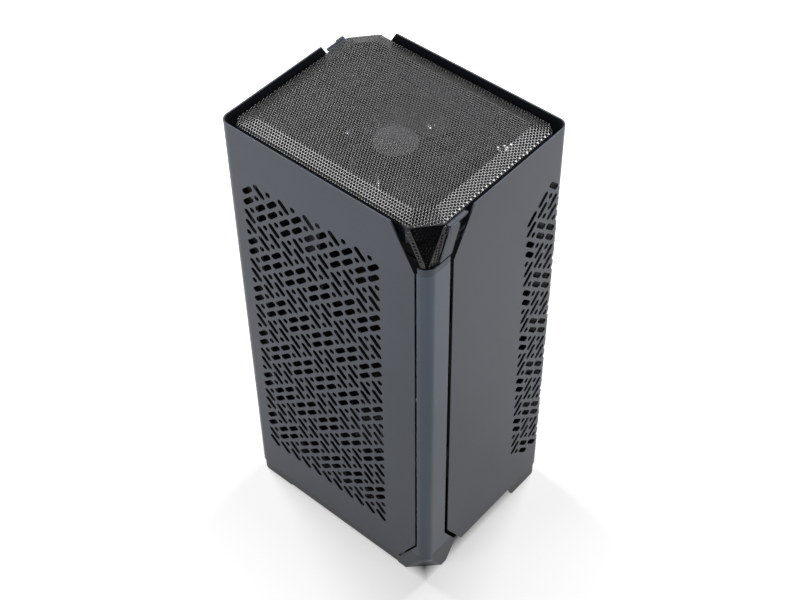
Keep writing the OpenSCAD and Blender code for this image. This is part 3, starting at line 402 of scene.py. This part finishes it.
@dataclass(frozen=True)
class Perforation:
    """Staggered round holes in a thin sheet.

    Args:
        pitch: Distance between neighbouring holes.
        hole_r: Radius of a hole.
        thickness: Thickness of the sheet.
        margin: Plain width along the sheet's edge.
        weld: Share of the pitch within which corners of neighbouring cells are one.
    """

    pitch: float = 2.6 * MM
    hole_r: float = 0.95 * MM
    thickness: float = 0.6 * MM
    margin: float = 0.35 * MM
    weld: float = 0.05

    def centres(self, outline: Outline) -> tuple[np.ndarray, np.ndarray]:
        """Lay the middles of six-sided cells over an outline.

        They lie on rows half the root of three times the pitch apart, every other row moved by
        half the pitch.

        Args:
            outline: Edge of the sheet.

        Returns:
            The middles of the cells with a hole, and of the plain ones along the edge.
        """
        low, high = outline.corners.min(0) - self.pitch, outline.corners.max(0) + self.pitch
        rise = self.pitch * math.sqrt(3) / 2
        rows = np.arange(math.floor(low[1] / rise), math.ceil(high[1] / rise) + 1)
        columns = np.arange(math.floor(low[0] / self.pitch) - 1,
                            math.ceil(high[0] / self.pitch) + 1)
        column, row = np.meshgrid(columns, rows)
        middles = np.stack([(column + 0.5 * (row % 2)) * self.pitch, row * rise], -1).reshape(-1, 2)
        out = outline.outside(middles)
        plain_from = -(self.hole_r + self.margin)
        return middles[out < plain_from], middles[(out >= plain_from) & (out < 0)]

    def sheet(self, outline: Outline, lift: Lift) -> tuple[np.ndarray, np.ndarray]:
        """Make the sheet as a closed mesh of triangles.

        A cell's six corners lie the pitch over the root of three from its middle, neighbours
        share them, and those along the border are moved onto the outline. Six faces join a
        cell's corners to its hole, or to its middle where it has none.

        Args:
            outline: Edge of the sheet in its own plane.
            lift: Takes places in the plane to places and to unit normals in space.

        Returns:
            Corner places and faces.
        """
        holed, plain = self.centres(outline)
        middles = np.concatenate([holed, plain])
        angle = np.radians(30 + 60 * np.arange(6))
        spokes = np.stack([np.cos(angle), np.sin(angle)], -1)
        spread = (middles[:, None] + spokes * self.pitch / math.sqrt(3)).reshape(-1, 2)
        _, first, shared = np.unique(np.round(spread / (self.weld * self.pitch)).astype(np.int64),
                                     axis=0, return_index=True, return_inverse=True)
        shared = shared.reshape(-1, 6)
        places = spread[first]
        ahead = np.roll(shared, -1, axis=1)
        count = len(places)
        on_border = ~np.isin(shared * count + ahead, ahead * count + shared)
        rim = np.unique(np.concatenate([shared[on_border], ahead[on_border]]))
        places[rim] = outline.onto(places[rim])

        rings = (holed[:, None] + spokes * self.hole_r).reshape(-1, 2)
        upper, normal = lift(np.concatenate([places, rings, plain]))
        total = len(upper)
        ring = count + np.arange(len(rings)).reshape(-1, 6)
        ring_ahead = np.roll(ring, -1, axis=1)
        around, around_ahead = shared[:len(holed)], ahead[:len(holed)]
        middle = np.repeat(count + len(rings) + np.arange(len(plain)), 6).reshape(-1, 6)
        top = np.concatenate([
            halved(np.stack([around, around_ahead, ring_ahead, ring], -1).reshape(-1, 4)),
            np.stack([shared[len(holed):], ahead[len(holed):], middle], -1).reshape(-1, 3)])
        bore = np.stack([ring, ring_ahead, ring_ahead + total, ring + total], -1).reshape(-1, 4)
        back, fore = shared[on_border], ahead[on_border]
        border = np.stack([fore, back, back + total, fore + total], -1)
        faces = np.concatenate([top, top[:, ::-1] + total, halved(bore), halved(border)])
        return np.concatenate([upper, upper - normal * self.thickness]), faces


@dataclass
class TopCover:
    """The fine mesh of the top cover, folded down to a beak over each column.

    The frame's plain cover gives the top, and the right panel gives the case's sides, from
    which the cover's edge is set in. Places on the beak are measured from the corner at the
    front column, along the front and back from it.

    Args:
        inset_x: Distance of the cover's edge from the case's narrow sides.
        inset_y: Distance of the cover's edge from the case's wide sides.
        slope: Width of the sloping border.
        fall: Drop of the border.
        cut_x: Length along the front that the corner cut takes off.
        cut_y: Length along the side that the corner cut takes off.
        corner_r: Radius of the edge's round corners.
        corner_step: Degrees between the points of a round corner.
        inner_share: Share of the corner cut that the flat top has.
        inner_r: Radius of the flat top's round corners.
        beak_drop: Height of the beak.
        shoulder_drop: Drop of the beak's outer upper corners.
        front_shoulder: Distance past the cut and place back of the outer corner at the front.
        side_shoulder: Place along the front and distance past the cut of the one at the side.
        tip: Places of the beak's lower corners, from the front to the side.
        holes: Perforation of the sheet.
    """

    inset_x: float = 5.85 * MM
    inset_y: float = 6.3 * MM
    slope: float = 13.6 * MM
    fall: float = 5.0 * MM
    cut_x: float = 16.8 * MM
    cut_y: float = 19.4 * MM
    corner_r: float = 12.0 * MM
    corner_step: int = 15
    inner_share: float = 0.65
    inner_r: float = 5.0 * MM
    beak_drop: float = 27.6 * MM
    shoulder_drop: float = 2.5 * MM
    front_shoulder: tuple[float, float] = (0.2 * MM, 2.4 * MM)
    side_shoulder: tuple[float, float] = (2.2 * MM, 1.0 * MM)
    tip: tuple[tuple[float, float], ...] = (
        (7.4 * MM, 1.5 * MM), (4.4 * MM, 3.6 * MM), (3.6 * MM, 4.4 * MM), (1.5 * MM, 13.5 * MM))
    holes: Perforation = field(default_factory=Perforation)
    case_x: float = field(init=False)
    case_y: float = field(init=False)
    top: float = field(init=False)
    half_x: float = field(init=False)
    half_y: float = field(init=False)

    def edge(self, inset: float, cut: float, radius: float) -> Outline:
        """Return the cover's outline with two cut and two round corners.

        Args:
            inset: Distance inwards from the cover's edge.
            cut: Share of the outer cut corners.
            radius: Radius of the round corners.

        Returns:
            The outline, anticlockwise from the round corner at the right and back.
        """
        x, y = self.half_x - inset, self.half_y - inset
        angle = np.radians(np.arange(0, 91, self.corner_step))
        round_corner = np.stack([x - radius + radius * np.cos(angle),
                                 y - radius + radius * np.sin(angle)], -1)
        cut_corner = np.array([[-x + self.cut_x * cut, y], [-x, y - self.cut_y * cut]])
        half = np.concatenate([round_corner, cut_corner])
        return Outline(np.concatenate([half, -half]))

    def measure(self) -> None:
        """Read the cover's half sizes and heights from the frame."""
        _, cover_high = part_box("cover_mesh")
        _, panel_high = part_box("right_panel")
        self.case_x, self.case_y = panel_high.x, panel_high.y
        self.top = cover_high.z
        self.half_x = self.case_x - self.inset_x
        self.half_y = self.case_y - self.inset_y

    def lift_cap(self, flat: np.ndarray) -> tuple[np.ndarray, np.ndarray]:
        """Fold the flat sheet down along its border.

        The height falls evenly from the inner outline to the outer one: the share is the
        distance outside the inner over the sum of that and the distance inside the outer.

        Args:
            flat: Places in the plan.

        Returns:
            Places in space and unit normals.
        """
        outer = self.edge(0, 1, self.corner_r)
        inner = self.edge(self.slope, self.inner_share, self.inner_r)

        def height(places: np.ndarray) -> np.ndarray:
            beyond = np.maximum(inner.outside(places), 0)
            within = np.maximum(-outer.outside(places), 0)
            return self.top - self.fall * beyond / (beyond + within + TINY)

        z = height(flat)
        step = SLOPE_STEP
        slope_x = (height(flat + [step, 0]) - height(flat - [step, 0])) / (2 * step)
        slope_y = (height(flat + [0, step]) - height(flat - [0, step])) / (2 * step)
        normal = np.stack([-slope_x, -slope_y, np.ones_like(z)], -1)
        normal /= np.linalg.norm(normal, axis=-1, keepdims=True)
        return np.concatenate([flat, z[..., None]], -1), normal

    def corner(self, a: float, b: float, z: float) -> np.ndarray:
        """Return the place a along the front and b back from the front column's corner."""
        return np.array([self.case_x - a, -self.case_y + b, z])

    def beak_corners(self) -> tuple[np.ndarray, np.ndarray]:
        """Return the beak's upper and lower corners, from the front to the side."""
        high = self.top - self.fall
        shoulder = high - self.shoulder_drop
        cut_a, cut_b = self.cut_x + self.inset_x, self.cut_y + self.inset_y
        past_front, front_b = self.front_shoulder
        side_a, past_side = self.side_shoulder
        upper = [self.corner(cut_a + past_front, front_b, shoulder),
                 self.corner(cut_a, self.inset_y, high), self.corner(self.inset_x, cut_b, high),
                 self.corner(side_a, cut_b + past_side, shoulder)]
        lower = [self.corner(a, b, high - self.beak_drop) for a, b in self.tip]
        return np.array(upper), np.array(lower)

    def beak(self) -> list[tuple[str, np.ndarray, np.ndarray]]:
        """Make the folded faces of the beak at the front column.

        Each face is a four-cornered patch: a place u across and v down is the mix of its two
        upper corners moved towards the mix of its two lower ones.

        Returns:
            Name, corner places and faces of each.
        """
        upper, lower = self.beak_corners()
        return [(name, *self.patch(upper[k], upper[k + 1], lower[k], lower[k + 1]))
                for k, name in enumerate(("front_strip", "facet", "side_strip"))]

    def patch(self, a: np.ndarray, b: np.ndarray, c: np.ndarray,
              d: np.ndarray) -> tuple[np.ndarray, np.ndarray]:
        """Perforate a four-cornered patch.

        The patch is laid flat with its true top width, height and bottom width, and a flat
        place goes back to space by its share across and its share down.

        Args:
            a: Upper corner at the start.
            b: Upper corner at the end.
            c: Lower corner at the start.
            d: Lower corner at the end.

        Returns:
            Corner places and faces.
        """
        wide, narrow = np.linalg.norm(b - a), np.linalg.norm(d - c)
        drop = np.linalg.norm((c + d) / 2 - (a + b) / 2)
        lean = float(np.dot((c + d) / 2 - (a + b) / 2, b - a)) / wide
        tall = math.sqrt(max(drop * drop - lean * lean, TINY))
        middle = wide / 2 + lean
        outline = Outline(np.array([[middle - narrow / 2, -tall], [middle + narrow / 2, -tall],
                                    [wide, 0.0], [0.0, 0.0]]))

        def lift(flat: np.ndarray) -> tuple[np.ndarray, np.ndarray]:
            down = np.clip(-flat[..., 1] / tall, 0, 1)[..., None]
            start = (middle - narrow / 2) * down[..., 0]
            width = wide + (narrow - wide) * down[..., 0]
            across = np.clip((flat[..., 0] - start) / width, 0, 1)[..., None]
            place = (a + (b - a) * across) * (1 - down) + (c + (d - c) * across) * down
            normal = np.cross(d - a, b - c)
            normal = normal / np.linalg.norm(normal)
            return place, np.broadcast_to(normal, place.shape)

        return self.holes.sheet(outline, lift)

    def build(self, finish: bpy.types.Material, painted_shade: bpy.types.Material) -> None:
        """Make the mesh in bands from the front to the back, and the two beaks.

        The outermost bands take every face beyond them too. The rear beak is the front one
        after half a turn.

        Args:
            finish: Material of the mesh.
            painted_shade: Near-black material of the beaks' middle faces, a painted shade for
            faces that turn away from the light.
        """
        self.measure()
        points, faces = self.holes.sheet(self.edge(0, 1, self.corner_r), self.lift_cap)
        middle = points[faces].mean(1)[:, 1]
        edges = np.linspace(-self.half_y, self.half_y, len(BANDS) + 1)
        edges[0], edges[-1] = -np.inf, np.inf
        pieces = []
        for k, name in enumerate(BANDS):
            band = faces[(middle >= edges[k]) & (middle < edges[k + 1])]
            used, renumbered = np.unique(band, return_inverse=True)
            pieces.append(add_mesh(f"cover_mesh_{name}", points[used],
                                   renumbered.reshape(band.shape), finish,
                                   "top_cover"))
        half_turn = np.array([-1.0, -1.0, 1.0])
        for name, places, sides in self.beak():
            # The beaks' middle facets get the near-black painted shade
            finish_or_painted_shade = painted_shade if name == "facet" else finish
            for end, here in (("front", places), ("rear", places * half_turn)):
                pieces.append(add_mesh(f"{end}_beak_{name}", here, sides, finish_or_painted_shade,
                                       "top_cover"))
        for piece in pieces:
            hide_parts("cover_mesh")


@dataclass(frozen=True)
class Viewpoint:
    """The camera's place and angles, solved from the straight edges of the case.

    Args:
        place: Where it stands.
        yaw: Degrees that it is turned to the left of the view along the y axis.
        dip: Degrees that it looks down.
        roll: Degrees that it leans about its own line of sight.
        lens_mm: Focal length, in millimetres.
        sensor_mm: Width of the sensor, in millimetres.
        clip: Distances between which it sees.
    """

    place: tuple[float, float, float] = (0.586216, -0.667729, 1.203508)
    yaw: float = 41.081
    dip: float = 47.274
    roll: float = -0.768
    lens_mm: float = 68.07
    sensor_mm: float = 36.0
    clip: tuple[float, float] = (0.05, 20.0)

    def build(self) -> None:
        """Make the camera and look through it."""
        yaw, dip, roll = (math.radians(v) for v in (self.yaw, self.dip, self.roll))
        ahead = Vector((-math.sin(yaw) * math.cos(dip), math.cos(yaw) * math.cos(dip),
                        -math.sin(dip)))
        level = Vector((math.cos(yaw), math.sin(yaw), 0))
        above = level.cross(ahead)
        right = math.cos(roll) * level + math.sin(roll) * above
        up = -math.sin(roll) * level + math.cos(roll) * above
        data = bpy.data.cameras.new("view")
        data.lens = self.lens_mm
        data.sensor_width = self.sensor_mm
        data.clip_start, data.clip_end = self.clip
        camera = bpy.data.objects.new("view", data)
        turn = Matrix((right, up, -ahead)).transposed().to_4x4()
        camera.matrix_world = Matrix.Translation(self.place) @ turn
        bpy.context.scene.collection.objects.link(camera)
        bpy.context.scene.camera = camera


class LampShape(Enum):
    """Outline of a lamp's face."""

    SQUARE = "SQUARE"
    DISK = "DISK"


@dataclass(frozen=True)
class Softbox:
    """A flat lamp that looks at a point of the case.

    Args:
        name: Name of the lamp.
        place: Where it stands.
        size: Length of its side, or its diameter.
        power: Its watts.
        aim: The point it faces.
        shape: Outline of its face.
    """

    name: str
    place: tuple[float, float, float]
    size: float
    power: float
    aim: tuple[float, float, float] = (0.0, 0.0, 0.25)
    shape: LampShape = LampShape.SQUARE

    def build(self) -> None:
        """Make the lamp."""
        data = bpy.data.lights.new(self.name, "AREA")
        data.shape = self.shape.value
        data.size = self.size
        data.energy = self.power
        lamp = bpy.data.objects.new(self.name, data)
        facing = (Vector(self.aim) - Vector(self.place)).to_track_quat("-Z", "Y")
        lamp.matrix_world = Matrix.Translation(self.place) @ facing.to_matrix().to_4x4()
        bpy.context.scene.collection.objects.link(lamp)


@dataclass
class Studio:
    """Pale floor, white surroundings and soft lamps.

    Args:
        half_floor: Half the floor's side.
        dim: Strength of the surroundings as a light.
        near_glow: Share of white that direct sight adds to the floor beside the case, kept
        below full white so that a painted shadow lies there.
        painted_shadow_reach: Distance from the case at which the painted shadow has faded and
        the floor has turned to plain white.
        painted_shadow_start: Distance from the case at which the painted shadow starts to fade.
        under: Distances inside the footprint between which the added white ends.
        floor_shade: Grey of the floor under the lamps.
        floor_roughness: Roughness of the floor.
        lamps: The soft lamps.
    """

    half_floor: float = 3.0
    dim: float = 0.1
    near_glow: float = 0.5
    painted_shadow_reach: float = 0.5
    painted_shadow_start: float = 0.04
    under: tuple[float, float] = (-0.012, -0.002)
    floor_shade: float = 0.55
    floor_roughness: float = 0.9
    lamps: tuple[Softbox, ...] = (
        Softbox("upper_left_disk", (-0.8, 0.0, 1.65), 0.55, 22.0, (0.0, 0.0, 0.44), LampShape.DISK),
        Softbox("upper_back_disk", (0.05, 0.85, 1.6), 0.55, 22.0, (0.0, 0.0, 0.44), LampShape.DISK),
        Softbox("front_box", (-0.45, -1.35, 0.4), 0.6, 6.0),
        Softbox("right_box", (1.45, 0.3, 0.4), 0.6, 1.5),
    )

    def build(self, case: tuple[Vector, Vector]) -> None:
        """Make the floor, the world and the lamps.

        Args:
            case: Lowest and highest corners of the case.
        """
        self.floor(case[1].x, case[1].y)
        self.world()
        for lamp in self.lamps:
            lamp.build()

    def seen_directly(self, tree: bpy.types.NodeTree) -> bpy.types.NodeSocket:
        """Return a socket that is 1 for camera, glossy and transmission rays."""
        path = tree.nodes.new("ShaderNodeLightPath")
        first = self.joined(tree, "MAXIMUM", path.outputs["Is Camera Ray"],
                            path.outputs["Is Glossy Ray"])
        return self.joined(tree, "MAXIMUM", first, path.outputs["Is Transmission Ray"])

    @staticmethod
    def joined(tree: bpy.types.NodeTree, operation: str, *values: bpy.types.NodeSocket | float
               ) -> bpy.types.NodeSocket:
        """Return the result of one sum on sockets or numbers.

        Args:
            tree: Tree that the node joins.
            operation: Blender's name of the sum.
            values: What it takes, in order.

        Returns:
            The socket with the result.
        """
        node = tree.nodes.new("ShaderNodeMath")
        node.operation = operation
        for k, value in enumerate(values):
            if isinstance(value, float):
                node.inputs[k].default_value = value
            else:
                tree.links.new(value, node.inputs[k])
        return node.outputs[0]

    @staticmethod
    def spread(tree: bpy.types.NodeTree, value: bpy.types.NodeSocket,
               source: tuple[float, float], target: tuple[float, float]) -> bpy.types.NodeSocket:
        """Return value carried from the source span to the target span and held there."""
        node = tree.nodes.new("ShaderNodeMapRange")
        node.inputs["From Min"].default_value, node.inputs["From Max"].default_value = source
        node.inputs["To Min"].default_value, node.inputs["To Max"].default_value = target
        tree.links.new(value, node.inputs["Value"])
        return node.outputs["Result"]

    def world(self) -> None:
        """Make surroundings that look white and light the case dimly."""
        world = bpy.data.worlds.new("surroundings")
        bpy.context.scene.world = world
        world.use_nodes = True
        tree = world.node_tree
        back = tree.nodes["Background"]
        back.inputs["Color"].default_value = WHITE
        strength = self.spread(tree, self.seen_directly(tree), (0.0, 1.0), (self.dim, 1.0))
        tree.links.new(strength, back.inputs["Strength"])

    def floor(self, half_x: float, half_y: float) -> None:
        """Make the pale floor, which keeps the case's shadow.

        Direct sight adds white to it by the distance from the case's footprint, which is the
        larger of the two distances along the axes: none under the case, a little beside it.
        The smaller share beside the case paints a shadow there, on top of the lamps' shadow.

        Args:
            half_x: Half the case's width.
            half_y: Half the case's depth.
        """
        material = bpy.data.materials.new("floor")
        material.use_nodes = True
        tree = material.node_tree
        shader = tree.nodes["Principled BSDF"]
        shader.inputs["Base Color"].default_value = (*[self.floor_shade] * 3, 1.0)
        shader.inputs["Roughness"].default_value = self.floor_roughness
        shader.inputs["Specular IOR Level"].default_value = 0.0
        shader.inputs["Emission Color"].default_value = WHITE
        place = tree.nodes.new("ShaderNodeTexCoord")
        axes = tree.nodes.new("ShaderNodeSeparateXYZ")
        tree.links.new(place.outputs["Object"], axes.inputs[0])
        from_middle = [self.joined(tree, "ABSOLUTE", axes.outputs[k]) for k in range(2)]
        beyond = [self.joined(tree, "SUBTRACT", distance, half)
                  for distance, half in zip(from_middle, (half_x, half_y))]
        away = self.joined(tree, "MAXIMUM", *beyond)
        near = self.spread(tree, away, self.under, (0.0, self.near_glow))
        far = self.spread(tree, away, (self.painted_shadow_start, self.painted_shadow_reach), (0.0, 1.0 - self.near_glow))
        # Less added white near the case than further out: a painted shadow around it
        glow_with_painted_shadow = self.joined(tree, "MULTIPLY", self.joined(tree, "ADD", near, far),
                           self.seen_directly(tree))
        tree.links.new(glow_with_painted_shadow, shader.inputs["Emission Strength"])
        half = self.half_floor
        mesh = bpy.data.meshes.new("floor")
        mesh.from_pydata([(-half, -half, 0), (half, -half, 0), (half, half, 0), (-half, half, 0)],
                         [], [(0, 1, 2, 3)])
        mesh.materials.append(material)
        floor = bpy.data.objects.new("floor", mesh)
        bpy.context.scene.collection.objects.link(floor)
        floor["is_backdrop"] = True


def dress_nodes(nodes: dict[str, bpy.types.Object]) -> None:
    """Give every node of the frame its finish.

    Args:
        nodes: The frame's nodes by name.
    """
    for finish, names in DRESS.items():
        material = finish.build()
        for name in names:
            mesh = nodes[name].data
            mesh.materials.clear()
            mesh.materials.append(material)
            LOG.info("%s wears %s", name, finish.name)


def corners(box: tuple[Vector, Vector]) -> list[list[float]]:
    """Return a box as plain lists."""
    return [list(box[0]), list(box[1])]


def main() -> None:
    """Dress the frame, add the fine mesh and set the studio."""
    logging.basicConfig(level=logging.INFO, format="%(name)s: %(message)s")
    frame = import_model()
    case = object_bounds()
    scene = bpy.context.scene
    scene.view_settings.view_transform = "Standard"
    Viewpoint().build()
    Studio().build(case)
    dress_nodes(frame["nodes"])
    TopCover().build(MESH_COAT.build(), FACET_PAINTED_SHADE.build())
    bpy.context.view_layer.update()


if __name__ == "__main__":
    main()
